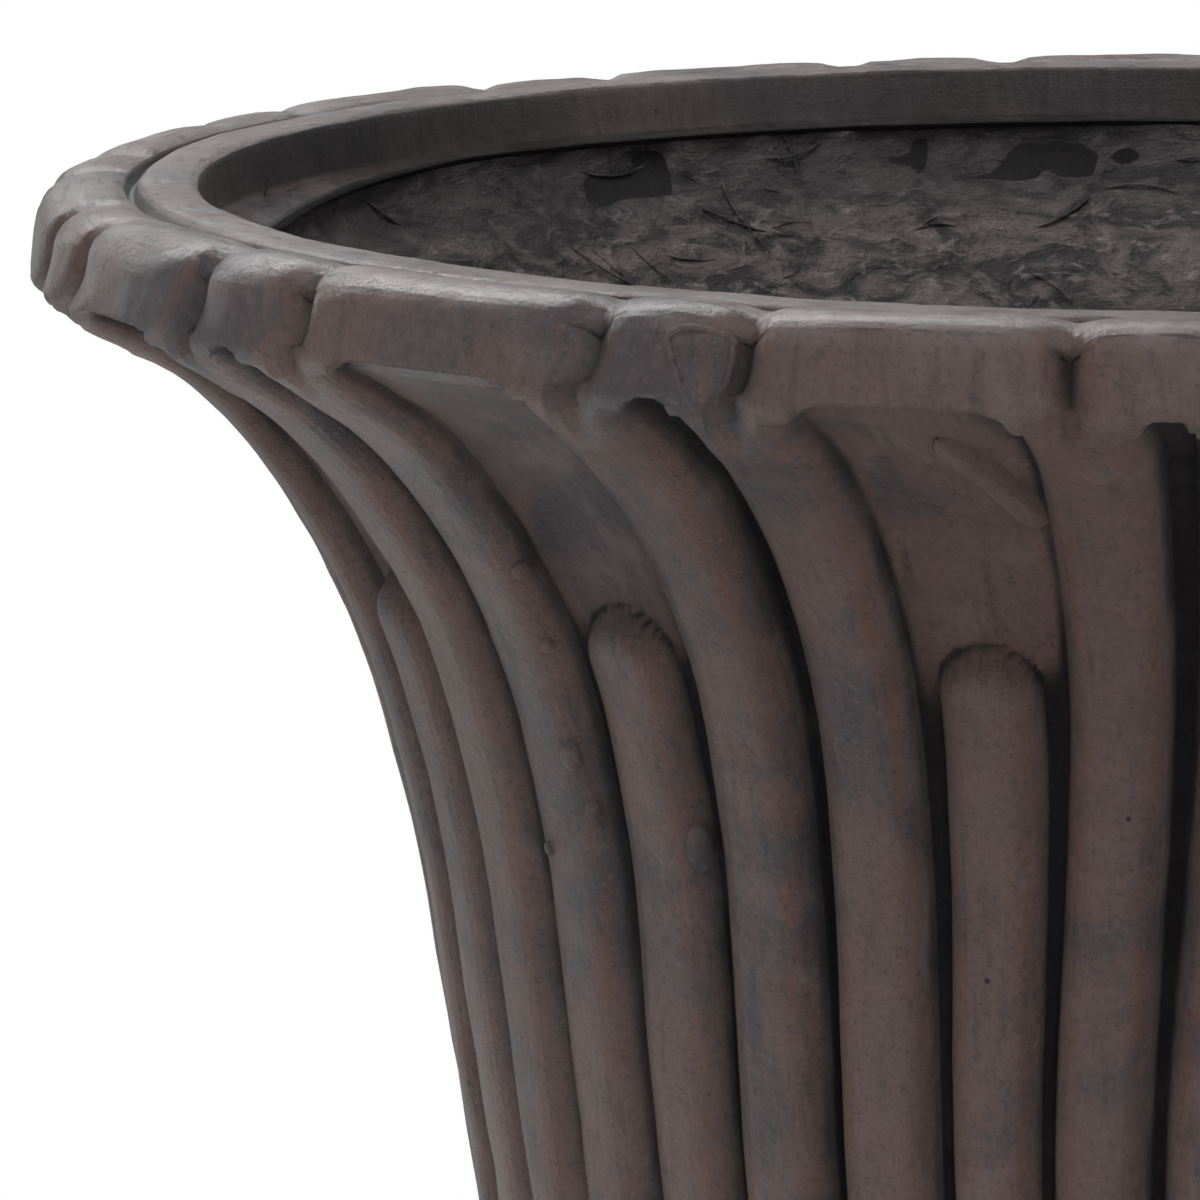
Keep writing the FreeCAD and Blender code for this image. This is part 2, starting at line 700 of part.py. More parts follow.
os.makedirs("parts", exist_ok=True)
for node in nodes:
    node.Shape.exportStep(f"parts/{node.Label}.step")
    print(node.Label, len(node.Shape.Solids), "solid(s), volume", round(node.Shape.Volume))
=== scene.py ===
import itertools
import math

import bpy
import numpy as np
from mathutils import Matrix, Vector


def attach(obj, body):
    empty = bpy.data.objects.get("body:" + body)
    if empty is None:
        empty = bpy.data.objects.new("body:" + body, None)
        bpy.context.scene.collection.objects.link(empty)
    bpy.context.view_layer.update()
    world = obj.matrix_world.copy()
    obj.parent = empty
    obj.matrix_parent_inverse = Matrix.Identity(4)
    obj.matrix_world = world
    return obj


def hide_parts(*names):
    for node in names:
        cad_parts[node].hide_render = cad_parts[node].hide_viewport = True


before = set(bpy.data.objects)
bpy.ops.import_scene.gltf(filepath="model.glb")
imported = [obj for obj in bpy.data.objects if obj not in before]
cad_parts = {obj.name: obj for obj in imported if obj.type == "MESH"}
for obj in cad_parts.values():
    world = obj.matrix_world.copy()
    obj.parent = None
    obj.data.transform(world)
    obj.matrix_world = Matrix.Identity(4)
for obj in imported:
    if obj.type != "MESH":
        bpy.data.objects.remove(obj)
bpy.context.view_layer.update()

mm = 0.001
ringTop = 0.658          # the flat ring's top plane, metres above the ground


def smooth(x, low, high):
    t = np.clip((x - low) / (high - low), 0, 1)
    return t * t * (3 - 2 * t)


# Value noise between -1 and 1 at points in millimetres.
def lumps(points, size, seed):
    scaled = points / size
    base = np.floor(scaled).astype(np.int64)
    part = scaled - base
    part = part * part * (3 - 2 * part)
    total = np.zeros(points.shape[:-1])
    for corner in itertools.product((0, 1), repeat=3):
        cell = base + np.array(corner)
        mixed = cell[..., 0] * 374761393 + cell[..., 1] * 668265263
        mixed = mixed + cell[..., 2] * 1442695041 + seed * 974711
        mixed = (mixed ^ (mixed >> 13)) * 1274126177
        mixed = mixed ^ (mixed >> 16)
        weight = np.prod(np.where(corner, part, 1 - part), axis=-1)
        total += ((mixed & 65535) / 32767.5 - 1) * weight
    return total


# Points in millimetres from angle to the left of the front, radius and height over the ring.
def around(angle, radius, height):
    turned = np.radians(angle)
    return np.stack([-radius * np.sin(turned), -radius * np.cos(turned), height], axis=-1)


# Puts a mesh in the scene, with its faces turned outwards.
def placed(name, mesh):
    piece = bpy.data.objects.new(name, mesh)
    bpy.context.scene.collection.objects.link(piece)
    mesh.calc_loop_triangles()
    spots = np.empty(len(mesh.vertices) * 3)
    mesh.vertices.foreach_get("co", spots)
    corners = np.empty(len(mesh.loop_triangles) * 3, dtype=np.int64)
    mesh.loop_triangles.foreach_get("vertices", corners)
    a, b, c = spots.reshape(-1, 3)[corners.reshape(-1, 3)].transpose(1, 0, 2)
    if np.sum(np.cross(a, b) * c) < 0:
        mesh.flip_normals()
    return piece


def meshPiece(name, points, faces, material, smoothShade=True):
    mesh = bpy.data.meshes.new(name)
    mesh.from_pydata(points, [], faces)
    mesh.validate()
    mesh.polygons.foreach_set("use_smooth", [smoothShade] * len(mesh.polygons))
    mesh.materials.append(material)
    return placed(name, mesh)


# The drain hole, cut through a skin between two heights.
def drillDrain(piece, radius, low, high):
    turns = [math.radians(step * 360 / drain["segments"]) for step in range(drain["segments"])]
    points = [(drain["offset"] + radius * math.cos(turn), radius * math.sin(turn), height)
              for height in (low, high) for turn in turns]
    count = len(turns)
    faces = [(step, (step + 1) % count, count + (step + 1) % count, count + step) for step in range(count)]
    faces += [tuple(range(count))[::-1], tuple(range(count, 2 * count))]
    drill = meshPiece("drainDrill", points, faces, piece.data.materials[0], False)
    cut = piece.modifiers.new("drain", "BOOLEAN")
    cut.operation, cut.object, cut.solver = "DIFFERENCE", drill, "EXACT"
    evaluated = piece.evaluated_get(bpy.context.evaluated_depsgraph_get())
    drilled = bpy.data.meshes.new_from_object(evaluated)
    piece.modifiers.clear()
    before = len(piece.data.polygons)
    piece.data = drilled
    bpy.data.objects.remove(drill)
    print("drain hole cut in", piece.name, before, len(drilled.polygons))


# A closed skin from a grid of rows and columns that both run round, in millimetres over the ring.
def ringGrid(name, grid, material, attributes=()):
    rows, columns = grid.shape[:2]
    points = grid.reshape(-1, 3) * mm + np.array([0, 0, ringTop])
    row, column = np.meshgrid(np.arange(rows), np.arange(columns), indexing="ij")
    below, beside = (row + 1) % rows, (column + 1) % columns
    corners = [row * columns + column, row * columns + beside,
               below * columns + beside, below * columns + column]
    faces = np.stack(corners, axis=-1).reshape(-1, 4)
    piece = meshPiece(name, points.tolist(), faces.tolist(), material)
    for label, values in attributes:
        flatValues = values.astype(np.float32).ravel()
        if values.ndim == 3:
            piece.data.attributes.new(label, "FLOAT_VECTOR", "POINT").data.foreach_set("vector", flatValues)
        else:
            piece.data.attributes.new(label, "FLOAT", "POINT").data.foreach_set("value", flatValues)
    return piece


# Builds one material node by node.
class Shader:
    def __init__(self, name):
        self.material = bpy.data.materials.new(name)
        self.material.use_nodes = True
        self.tree = self.material.node_tree
        self.tree.nodes.clear()
        self.surface = self.add("ShaderNodeBsdfPrincipled")
        output = self.add("ShaderNodeOutputMaterial")
        self.tree.links.new(self.surface.outputs[0], output.inputs["Surface"])
        self.place = self.add("ShaderNodeTexCoord").outputs["Object"]

    def add(self, kind, **settings):
        node = self.tree.nodes.new(kind)
        for key, value in settings.items():
            setattr(node, key, value)
        return node

    def give(self, socket, value):
        if isinstance(value, bpy.types.NodeSocket):
            self.tree.links.new(value, socket)
        else:
            socket.default_value = value

    def math(self, operation, first, second=0.0):
        node = self.add("ShaderNodeMath", operation=operation)
        self.give(node.inputs[0], first)
        self.give(node.inputs[1], second)
        return node.outputs[0]

    def stretched(self, scale, vector=None):
        node = self.add("ShaderNodeMapping")
        self.give(node.inputs["Vector"], vector or self.place)
        node.inputs["Scale"].default_value = scale
        return node.outputs[0]

    def noise(self, scale, detail=4.0, rough=0.55, vector=None, warp=0.0):
        node = self.add("ShaderNodeTexNoise")
        self.give(node.inputs["Vector"], vector or self.place)
        node.inputs["Scale"].default_value = scale
        node.inputs["Detail"].default_value = detail
        node.inputs["Roughness"].default_value = rough
        node.inputs["Distortion"].default_value = warp
        return node.outputs["Fac"]

    # Brings values between low and high to 0..1.
    def ramp(self, value, low, high, top=1.0):
        node = self.add("ShaderNodeMapRange", interpolation_type="SMOOTHSTEP")
        self.give(node.inputs["Value"], value)
        node.inputs["From Min"].default_value = low
        node.inputs["From Max"].default_value = high
        node.inputs["To Max"].default_value = top
        return node.outputs[0]

    def mix(self, share, first, second):
        node = self.add("ShaderNodeMix", data_type="RGBA")
        self.give(node.inputs[0], share)
        for socket, value in ((node.inputs[6], first), (node.inputs[7], second)):
            self.give(socket, value if isinstance(value, bpy.types.NodeSocket) else (*value, 1.0))
        return node.outputs[2]

    def attribute(self, name):
        return self.add("ShaderNodeAttribute", attribute_name=name).outputs["Fac"]

    def bump(self, height, distance, strength=1.0, under=None):
        node = self.add("ShaderNodeBump")
        self.give(node.inputs["Height"], height)
        node.inputs["Distance"].default_value = distance
        node.inputs["Strength"].default_value = strength
        if under is not None:
            self.give(node.inputs["Normal"], under)
        return node.outputs[0]


drain = {"offset": 0.033, "radius": 0.011, "plateRadius": 0.014, "segments": 48}      # metres
# Colours of the casting: the near-black colour for grooves is painted shade, and the lit colour is a painted
# sheen.
casting = {
    "brown": (0.158, 0.101, 0.087), "charcoal": (0.065, 0.058, 0.069), "rust": (0.175, 0.080, 0.052),
    "pale": (0.190, 0.145, 0.139), "groove": (0.007, 0.0055, 0.006), "lit": (0.235, 0.195, 0.198),
    "streak": (0.046, 0.036, 0.036), "dent": (0.030, 0.025, 0.026), "speck": (0.024, 0.020, 0.021),
    "pinhole": (0.006, 0.005, 0.005), "roughness": 0.19, "roughnessSpread": 0.34, "pinholeScale": 105,
}


# Resin casting with a rubbed iron-like patina, rust brown on worn edges; painted shade darkens the grooves
# and recesses, and a painted sheen lightens the upward faces.
def castMaterial(name):
    shader = Shader(name)
    blotch = shader.noise(16, 6, 0.62, warp=0.5)
    patch = shader.noise(60, 8, 0.68, warp=0.3)
    grain = shader.noise(640, 10, 0.8)
    skin = shader.add("ShaderNodeAttribute", attribute_name="skin").outputs["Vector"]
    streak = shader.noise(1, 8, 0.7, shader.stretched((300, 42, 1), skin), 0.4)
    dent = shader.noise(1, 6, 0.65, shader.stretched((70, 330, 1), skin), 0.5)
    colour = shader.mix(shader.ramp(blotch, 0.44, 0.6, 0.85), casting["brown"], casting["charcoal"])
    colour = shader.mix(shader.ramp(patch, 0.5, 0.66, 0.6), colour, casting["pale"])
    colour = shader.mix(shader.ramp(streak, 0.5, 0.68, 0.5), colour, casting["streak"])
    rubbed = shader.math("MULTIPLY", shader.attribute("wear"), shader.ramp(patch, 0.42, 0.54))
    rubbed = shader.math("MULTIPLY", rubbed, shader.ramp(streak, 0.62, 0.4))
    colour = shader.mix(rubbed, colour, casting["rust"])
    upward = shader.add("ShaderNodeSeparateXYZ")
    shader.give(upward.inputs[0], shader.add("ShaderNodeNewGeometry").outputs["Normal"])
    upwards = upward.outputs[2]
    # Painted sheen: upward faces lightened towards the lit colour, broken up by the patch noise.
    paintedTopSheen = shader.math("MULTIPLY", shader.ramp(upwards, 0.3, 0.95, 0.75), shader.ramp(patch, 0.38, 0.6))
    colour = shader.mix(paintedTopSheen, colour, casting["lit"])
    topDents = shader.ramp(dent, 0.54, 0.62, 0.8)
    topDents = shader.math("MULTIPLY", shader.ramp(upwards, 0.45, 0.85), topDents)
    colour = shader.mix(topDents, colour, casting["dent"])
    colour = shader.mix(shader.ramp(grain, 0.53, 0.61, 0.5), colour, casting["speck"])
    colour = shader.mix(shader.ramp(grain, 0.47, 0.38, 0.55), colour, casting["pale"])
    # Painted shade in grooves and recesses, read from a point attribute, plus real dark streaks, takes the
    # colour to near-black.
    shadeAndStreaks = shader.math("ADD", shader.attribute("paintedShade"), shader.math("MULTIPLY", streak, 0.35))
    shadeAndStreakShare = shader.ramp(shadeAndStreaks, 0.3, 0.85, 0.97)
    colour = shader.mix(shadeAndStreakShare, colour, casting["groove"])
    pits = shader.add("ShaderNodeTexVoronoi")
    shader.give(pits.inputs["Vector"], shader.place)
    pits.inputs["Scale"].default_value = casting["pinholeScale"]
    chosen = shader.add("ShaderNodeSeparateColor")
    shader.give(chosen.inputs[0], pits.outputs["Color"])
    width = shader.ramp(chosen.outputs[0], 0.76, 1.0, 0.085)
    ragged = shader.math("ADD", pits.outputs["Distance"], shader.math("MULTIPLY", grain, 0.06))
    pinhole = shader.math("LESS_THAN", ragged, shader.math("ADD", width, 0.015))
    colour = shader.mix(pinhole, colour, casting["pinhole"])
    shader.give(shader.surface.inputs["Base Color"], colour)
    rough = shader.math("MULTIPLY", patch, casting["roughnessSpread"])
    rough = shader.math("ADD", rough, casting["roughness"])
    shader.give(shader.surface.inputs["Roughness"], rough)
    shader.surface.inputs["Specular IOR Level"].default_value = 0.5
    coarse = shader.bump(shader.noise(120, 6, 0.62), 0.0035, 0.75)
    scratched = shader.bump(streak, 0.0016, 0.6, coarse)
    dented = shader.bump(dent, 0.0012, 0.45, scratched)
    fine = shader.bump(grain, 0.0032, 1.0, dented)
    sunken = shader.math("SUBTRACT", 1.0, pinhole)
    shader.give(shader.surface.inputs["Normal"], shader.bump(sunken, 0.0012, 0.7, fine))
    return shader.material


fibre = {
    "hollow": (0.018, 0.015, 0.0155), "resin": (0.115, 0.092, 0.092), "fleck": (0.23, 0.195, 0.195),
    "speck": (0.016, 0.013, 0.0135), "shade": (0.008, 0.007, 0.008), "roughness": 0.36,
}


# Resin-soaked glass-fibre mat, with painted shade at its top edge under the ring's ledge.
def matMaterial():
    shader = Shader("resinSoakedMat")
    coarse = shader.noise(1, 7, 0.66, shader.stretched((48, 48, 125)), 1.3)
    fleck = shader.noise(1, 6, 0.7, shader.stretched((130, 130, 330)), 0.9)
    grain = shader.noise(700, 5, 0.7)
    colour = shader.mix(shader.ramp(coarse, 0.42, 0.56), fibre["hollow"], fibre["resin"])
    colour = shader.mix(shader.ramp(fleck, 0.53, 0.64, 0.7), colour, fibre["fleck"])
    colour = shader.mix(shader.ramp(grain, 0.52, 0.64, 0.5), colour, fibre["speck"])
    # Painted shade at the mat's top edge, read from a point attribute.
    colour = shader.mix(shader.math("MULTIPLY", shader.attribute("paintedShade"), 0.8), colour, fibre["shade"])
    shader.give(shader.surface.inputs["Base Color"], colour)
    shader.surface.inputs["Roughness"].default_value = fibre["roughness"]
    rough = shader.bump(coarse, 0.007, 1.0)
    rough = shader.bump(fleck, 0.0022, 0.9, rough)
    shader.give(shader.surface.inputs["Normal"], shader.bump(grain, 0.0008, 0.7, rough))
    return shader.material


# Rubber or plated steel with a faint grain.
def plainMaterial(name, colour, roughness, metallic=0.0, grainScale=300, grainDepth=0.0002):
    shader = Shader(name)
    grain = shader.noise(grainScale, 4, 0.6)
    darker = tuple(0.6 * part for part in colour)
    shader.give(shader.surface.inputs["Base Color"], shader.mix(grain, darker, colour))
    shader.surface.inputs["Roughness"].default_value = roughness
    shader.surface.inputs["Metallic"].default_value = metallic
    shader.give(shader.surface.inputs["Normal"], shader.bump(grain, grainDepth, 0.5))
    return shader.material


bowlMaterial = castMaterial("bowlCasting")
fibreMaterial = matMaterial()
print("materials made")

# Flare: the line that the ribs' crests follow, in millimetres under the ring.
flare = {
    "start": (250.0, -25.4), "angles": (66.8, 39.6, 19.2, 9.3), "arcs": (94.0, 155.0, 348.0),
    "belly": 80.0, "seatDepth": -386.0, "pointsPerArc": 120,
}


def towards(angle):
    return np.array([math.cos(math.radians(angle)), -math.sin(math.radians(angle))])


# Fine points down the crest line moved inwards by an inset, from an angle of the first arc on.
def crestLine(inset, fromAngle, toDepth):
    angles, arcs = flare["angles"], flare["arcs"]
    centre = np.array(flare["start"]) + towards(angles[0]) * arcs[0]
    points = []
    for index, arc in enumerate(arcs):
        high = fromAngle if index == 0 else angles[index]
        for angle in np.linspace(high, angles[index + 1], flare["pointsPerArc"]):
            points.append(centre - towards(angle) * (arc + inset))
        if index + 1 < len(arcs):
            centre = centre + towards(angles[index + 1]) * (arcs[index + 1] - arc)
    taper = angles[3]
    top = centre - towards(taper) * arcs[2]
    endDepth = flare["seatDepth"] + flare["belly"] * (1 - math.sin(math.radians(taper)))
    bottomRadius = top[0] - (top[1] - endDepth) * math.tan(math.radians(taper))
    bellyCentre = np.array([bottomRadius - flare["belly"] * math.cos(math.radians(taper)),
                            flare["seatDepth"] + flare["belly"]])
    lowAngle = math.degrees(math.asin(min(1.0, (bellyCentre[1] - toDepth) / (flare["belly"] - inset))))
    for angle in np.linspace(taper, lowAngle, flare["pointsPerArc"]):
        points.append(bellyCentre + towards(angle) * (flare["belly"] - inset))
    return np.array(points)


# Picks stations along a line of points, closer together where the spacing is small.
def stations(line, spacing):
    lengths = np.concatenate([[0], np.cumsum(np.linalg.norm(np.diff(line, axis=0), axis=1))])
    fine = np.linspace(0, lengths[-1], 3000)
    radius = np.interp(fine, lengths, line[:, 0])
    height = np.interp(fine, lengths, line[:, 1])
    count = np.concatenate([[0], np.cumsum(np.diff(fine) / spacing(height[1:]))])
    picked = np.linspace(0, count[-1], int(count[-1]) + 1)
    return np.stack([np.interp(picked, count, radius), np.interp(picked, count, height)], axis=-1)


# Bowl: ring, leaf tips, ribs, panels and reeds in one closed skin. Profile points are (radius, height
# over the ring), and a cell is one rib or reed wide.
bowl = {
    "ring": [(209.5, -18), (209.2, -16.8), (209.6, -15.4), (211.4, -14.5), (215, -13.1), (218.4, -11.7),
             (219.9, -10.8), (220.5, -8.5), (221.0, -5.5), (221.6, -2.2), (222.0, -1.1), (222.8, -0.35),
             (224.0, 0), (226.5, 0.1), (229.5, 0.1), (232.2, 0), (233.8, -0.25), (234.7, -1.0), (235.2, -2.2),
             (235.8, -3.4), (236.6, -3.5), (237.3, -2.6), (237.9, -1.2)],
    "crown": [(238.8, 0.1), (240.2, 1.1), (242.2, 1.8), (244.5, 2.3), (247.0, 2.6), (249.4, 2.6),
              (251.6, 2.2), (253.6, 1.4), (255.3, 0.3), (256.6, -1.1), (257.5, -2.8), (258.0, -4.8)],
    "face": [(258.3, -6.8), (258.6, -8.8), (258.9, -10.8), (259.15, -12.6), (259.3, -14.2), (259.35, -15.6),
             (259.1, -17.0), (258.5, -18.3), (257.6, -19.7), (256.4, -21.0), (254.7, -22.5), (252.6, -24.2)],
    "notchDepth": 5.0, "notchHalf": 6.0, "cushion": 3.0, "cushionReach": 19, "leafDrop": 1.5, "leafSeed": 14,
    "reedTops": {12: -76.7, 36: -75.7, 60: -80.0},
    "cells": 45, "leafTurn": 24, "notchAngles": (4, 20), "reedAngle": 12,
    "wall": 17.2, "seatBore": 5.8, "floorTop": -362, "floorHigh": 0.305, "floorLow": 0.262,
}
# How far the real angles of notches, rib tops and low ribs are off an even spacing, degrees.
notchDrift = ([-8, 4, 20, 28, 44, 52, 68, 76, 92, 100, 116, 124, 140, 148, 164, 172, 188, 210, 300, 352,
               364],
              [3, 3.07, 1.78, 1.5, 3.25, 3.47, 1.24, 0.5, -1.5, -2.5, -5.0, -4.8, -5.3, -4.8, -6.1, -4.8,
               -6.5, -6, 0, 3, 3.07])
tipDrift = ([-8, 4, 12, 20, 28, 36, 44, 52, 60, 68, 92, 140, 200, 300, 352, 364],
            [2.4, 2.4, 2.4, 2.9, 3.4, 3.9, 4.7, 6.2, 6.9, 6.5, 2, -4, -5, 0, 2.4, 2.4])
lowDrift = ([-8, 0, 8, 16, 24, 32, 40, 48, 56, 64, 90, 120, 200, 300, 352, 360],
            [4.73, 4.73, 4.73, 4.25, 4.9, 5.7, 6.5, 7.6, 8.9, 11.0, 11, 8, 2, 2, 4.73, 4.73])

ribSteps = np.array([0, 0.25, 0.46, 0.64, 0.78, 0.88, 0.95, 0.98, 1.0])
ribSteps = np.concatenate([-ribSteps[:0:-1], ribSteps])
farSteps = np.array([-1, -0.92, -0.6, 0, 0.6, 0.92, 1])
cellTurn = 360 / bowl["cells"]
columnCell, columnStep, columnGap = [], [], []      # a gap of -1 marks a column on a rib or reed
for cell in range(bowl["cells"]):
    near = cell < 12 or cell > 42      # the cells that the camera sees
    for step in (ribSteps if near else farSteps):
        columnCell.append(cell)
        columnStep.append(step)
        columnGap.append(-1.0)
    for gap in ((0.12, 0.35, 0.65, 0.88) if near else (0.5,)):
        columnCell.append(cell)
        columnStep.append(1.0)
        columnGap.append(gap)
columnCell, columnStep, columnGap = (np.array(part) for part in (columnCell, columnStep, columnGap))


# Millimetres between the rows of the skin, closest round the reeds' tops.
def bowlSpacing(height):
    return np.interp(-height, [0, 60, 68, 94, 105, 160, 380], [2.0, 2.9, 1.5, 1.5, 4.0, 6.6, 6.6])


outside = stations(crestLine(0, flare["angles"][0], flare["seatDepth"]), bowlSpacing)
inside = stations(crestLine(bowl["wall"], 44.0, -355.0), lambda height: np.full_like(height, 14.0))
seatDepth, floorTop = flare["seatDepth"], bowl["floorTop"]
underSeat = [(82, seatDepth + 0.8), (80, seatDepth), (60, seatDepth), (30, seatDepth),
             (bowl["seatBore"], seatDepth)]
overFloor = [(bowl["seatBore"], floorTop), (40, floorTop), (80, floorTop)]
underRingLine = [(217.5, -27), (217.5, -23), (215.5, -20.2), (212.5, -18.6)]
line = np.concatenate([bowl["ring"], bowl["crown"], bowl["face"], outside[:-1], underSeat, overFloor,
                       inside[::-1][3:], underRingLine])
ringRows, topRows = len(bowl["ring"]), len(bowl["ring"]) + len(bowl["crown"])
flareRow = topRows + len(bowl["face"])
outsideEnd = flareRow + len(outside) + 1
tangent = np.roll(line, -1, axis=0) - np.roll(line, 1, axis=0)
tangent /= np.linalg.norm(tangent, axis=1)[:, None]
normal = np.stack([-tangent[:, 1], tangent[:, 0]], axis=-1)
rowRadius, rowHeight = line[:, 0][:, None], line[:, 1][:, None]
outer = ((np.arange(len(line)) >= ringRows) & (np.arange(len(line)) < outsideEnd))[:, None]

# Angles: ribs are wide high up with broad grooves, and nearly touch low down.
drop = -rowHeight
grooveWidth = np.interp(drop, [16, 28, 40, 70, 110, 160, 380], [12.5, 9.5, 7.6, 6.2, 4.4, 3.2, 2.8])
halfCell = cellTurn / 2 - np.degrees(grooveWidth / 2 / np.maximum(rowRadius, 90))
middle = columnCell * cellTurn + cellTurn / 2
gapTurn = cellTurn - 2 * halfCell
even = middle + np.where(columnGap < 0, columnStep * halfCell, halfCell + columnGap * gapTurn)
wrapped = np.where(even > 352, even - 360, even)
lowShare = smooth(drop, 70, 200)
tipShare = smooth(drop, 6, 34) * (1 - lowShare)
topShare = 1 - tipShare - lowShare
drift = (np.interp(wrapped, *notchDrift) * topShare + np.interp(wrapped, *tipDrift) * tipShare
         + np.interp(wrapped, *lowDrift) * lowShare)
angle = even + drift
flat = around(angle, rowRadius * np.ones_like(angle), rowHeight * np.ones_like(angle))

# Depth under the crest line.
cellIsRib = np.mod(np.arange(bowl["cells"]) * cellTurn + cellTurn / 2, bowl["leafTurn"]) != bowl["reedAngle"]
isRib = cellIsRib[columnCell][None, :]
nextIsRib = cellIsRib[(columnCell + 1) % bowl["cells"]][None, :]
inGap = (columnGap >= 0)[None, :]
gap = np.clip(columnGap, 0, 1)[None, :]
step = np.where(inGap, 1.0, np.abs(columnStep)[None, :])
halfWidth = np.radians(halfCell) * rowRadius
across = columnStep[None, :] * halfWidth      # mm from the middle of a rib or reed
far = 99.0      # mm, farther than any edge counts
fromNextRib = np.where(nextIsRib, (1 - gap) * grooveWidth, far)
fromRib = np.minimum(np.where(isRib, gap * grooveWidth, far), fromNextRib)
fromRib = np.where(inGap, fromRib, np.where(isRib, 0, grooveWidth + halfWidth - np.abs(across)))
between = inGap & isRib & nextIsRib
row = np.arange(len(line))[:, None]
waver = lumps(flat, 34, 3)
atEdge = np.where(between, np.abs(2 * gap - 1) ** 1.2, np.exp(-(fromRib / 4.0) ** 2))
recessStart = 15.8 + 0.5 * waver + 5.5 * atEdge
recess = smooth(drop, recessStart - 0.6, recessStart + 2.2)
panelDepth = np.interp(drop, [14, 20, 34, 60, 110, 380], [3.0, 4.6, 6.2, 7.2, 8.0, 7.4])
grooveDepth = np.interp(drop, [14, 20, 34, 60, 110, 380], [3.5, 6.5, 9.5, 10.0, 9.0, 7.6])
floorDepth = recess * np.where(between, grooveDepth, panelDepth)
fadeOut = 1 - smooth(drop, 372, 384)
ribHeight = (1 - step ** 3.8) ** 0.66
reedTop = [bowl["reedTops"].get(cell * cellTurn + cellTurn / 2, -76.0 - cell * 7 % 5) for cell in columnCell]
reedTop = np.array(reedTop)[None, :]
intoReed = drop + reedTop
reach = np.sqrt(step ** 2 + np.maximum(0, 1 - intoReed / 9.5) ** 2)
reedHeight = (1 - np.clip(reach, 0, 1) ** 3.8) ** 0.66 * 0.92
raised = np.where(inGap, 0, np.where(isRib, ribHeight, reedHeight))
depth = np.where(outer, floorDepth * fadeOut * (1 - raised), 0)
knob = np.exp(-((drop - 27.5) / 5) ** 2 - (across / 6.5) ** 2) * (isRib & ~inGap)
depth -= np.where(outer, 1.1 * knob, 0)

# Notches between the leaf tips, a crease down the face and cushions between them.
fromNotch = np.where(isRib & ~inGap, np.abs(across), far)
fromNotch = np.where(isRib & inGap, halfWidth + gap * grooveWidth, fromNotch)
fromNotch = np.minimum(fromNotch, np.where(nextIsRib & inGap, halfWidth + (1 - gap) * grooveWidth, far))
fromNotch = np.where(~isRib & ~inGap, 2 * halfWidth - np.abs(across) + grooveWidth, fromNotch)
vee = np.clip(1 - fromNotch / bowl["notchHalf"], 0, 1) ** 1.3
pillow = np.clip(1 - fromNotch / bowl["cushionReach"], 0, 1) ** 2
crownRows = [ringRows - 1, ringRows + 4, topRows - 3, topRows + 2, flareRow - 3, flareRow + 5]
crownShare = np.interp(row, crownRows, [0.05, 0.35, 1.0, 0.9, 0.6, 0])
onTop = (row >= ringRows) & (row < flareRow + 5)
leafCount = round(360 / bowl["leafTurn"])
notchPlaces = sorted(turn * bowl["leafTurn"] + at for turn in range(leafCount) for at in bowl["notchAngles"])
leafNumber = np.searchsorted(notchPlaces, even) % len(notchPlaces)
leafDrops = np.random.default_rng(bowl["leafSeed"]).uniform(0.0, bowl["leafDrop"], len(notchPlaces))
leafDrop = leafDrops[leafNumber]
leafDepth = vee * bowl["notchDepth"] + pillow * bowl["cushion"] + leafDrop
depth += np.where(onTop, crownShare * leafDepth, 0)

# Waves and lumps of the casting, and how far the leaf tips sit lower towards the left.
ripple = 0.45 * lumps(flat, 21, 11) + 0.3 * lumps(flat, 9, 12) + 0.16 * lumps(flat, 4, 13)
ringPart = (np.arange(len(line)) < ringRows)[:, None]
base = np.interp(row, [flareRow - 2, flareRow + 12], [0.55, 0.0])
depth += np.where(outer, base + ripple * 0.8, np.where(ringPart, 0.3 + ripple * 0.45, 0))
turnedLeft = np.where(angle > 180, 360 - angle, angle)
settle = 0.7 + 2.4 * smooth(turnedLeft, 42, 80)
settled = np.interp(row, [ringRows - 1, ringRows + 6, flareRow - 5, flareRow + 9], [0, 1, 1, 0])
# At the back the ring's ledge is narrower and higher than at the left.
ledgeShare = 1 - 0.72 * smooth(turnedLeft, 92, 132)
ledgeTop = (220, -11)      # radius and height where the ring's wall ends
underRing = ((row < 7) & (rowHeight < ledgeTop[1])) | (row > len(line) - 5)
atRadius = np.where(underRing, ledgeTop[0] - (ledgeTop[0] - rowRadius) * ledgeShare, rowRadius)
atHeight = np.where(underRing, ledgeTop[1] + (rowHeight - ledgeTop[1]) * ledgeShare, rowHeight)
gridRadius = atRadius - normal[:, :1] * depth
gridHeight = atHeight - normal[:, 1:] * depth - settle * settled
bowlGrid = around(angle, gridRadius, gridHeight)

# Painted shade in the gaps, on rib flanks, round the reed tops, in the panel corners, notches and seam, on
# the ring wall and under the ledge, with the ledge darker towards the back; and where the patina is rubbed
# through.
beside = np.exp(-(fromRib / 1.7) ** 2)
lowGap = smooth(intoReed, -3, 16)
# Painted shade in the gaps beside and between the ribs, strongest low down.
gapDark = np.where(between, 1.0, (0.1 + 0.7 * beside) * (1 - lowGap) + 0.95 * lowGap)
# Painted shade on the rib flanks.
flankDark = np.where(isRib, 0.55 * smooth(step, 0.86, 1.0), 0)
# Painted shade round the reed tops and beside them.
reedLine = np.exp(-((reach - 1.05) / 0.09) ** 2) * (reach > 0.9) * 0.8
reedDark = np.where(intoReed < 0, np.maximum(0.1 + 0.6 * beside, reedLine), np.maximum(reedLine, 0))
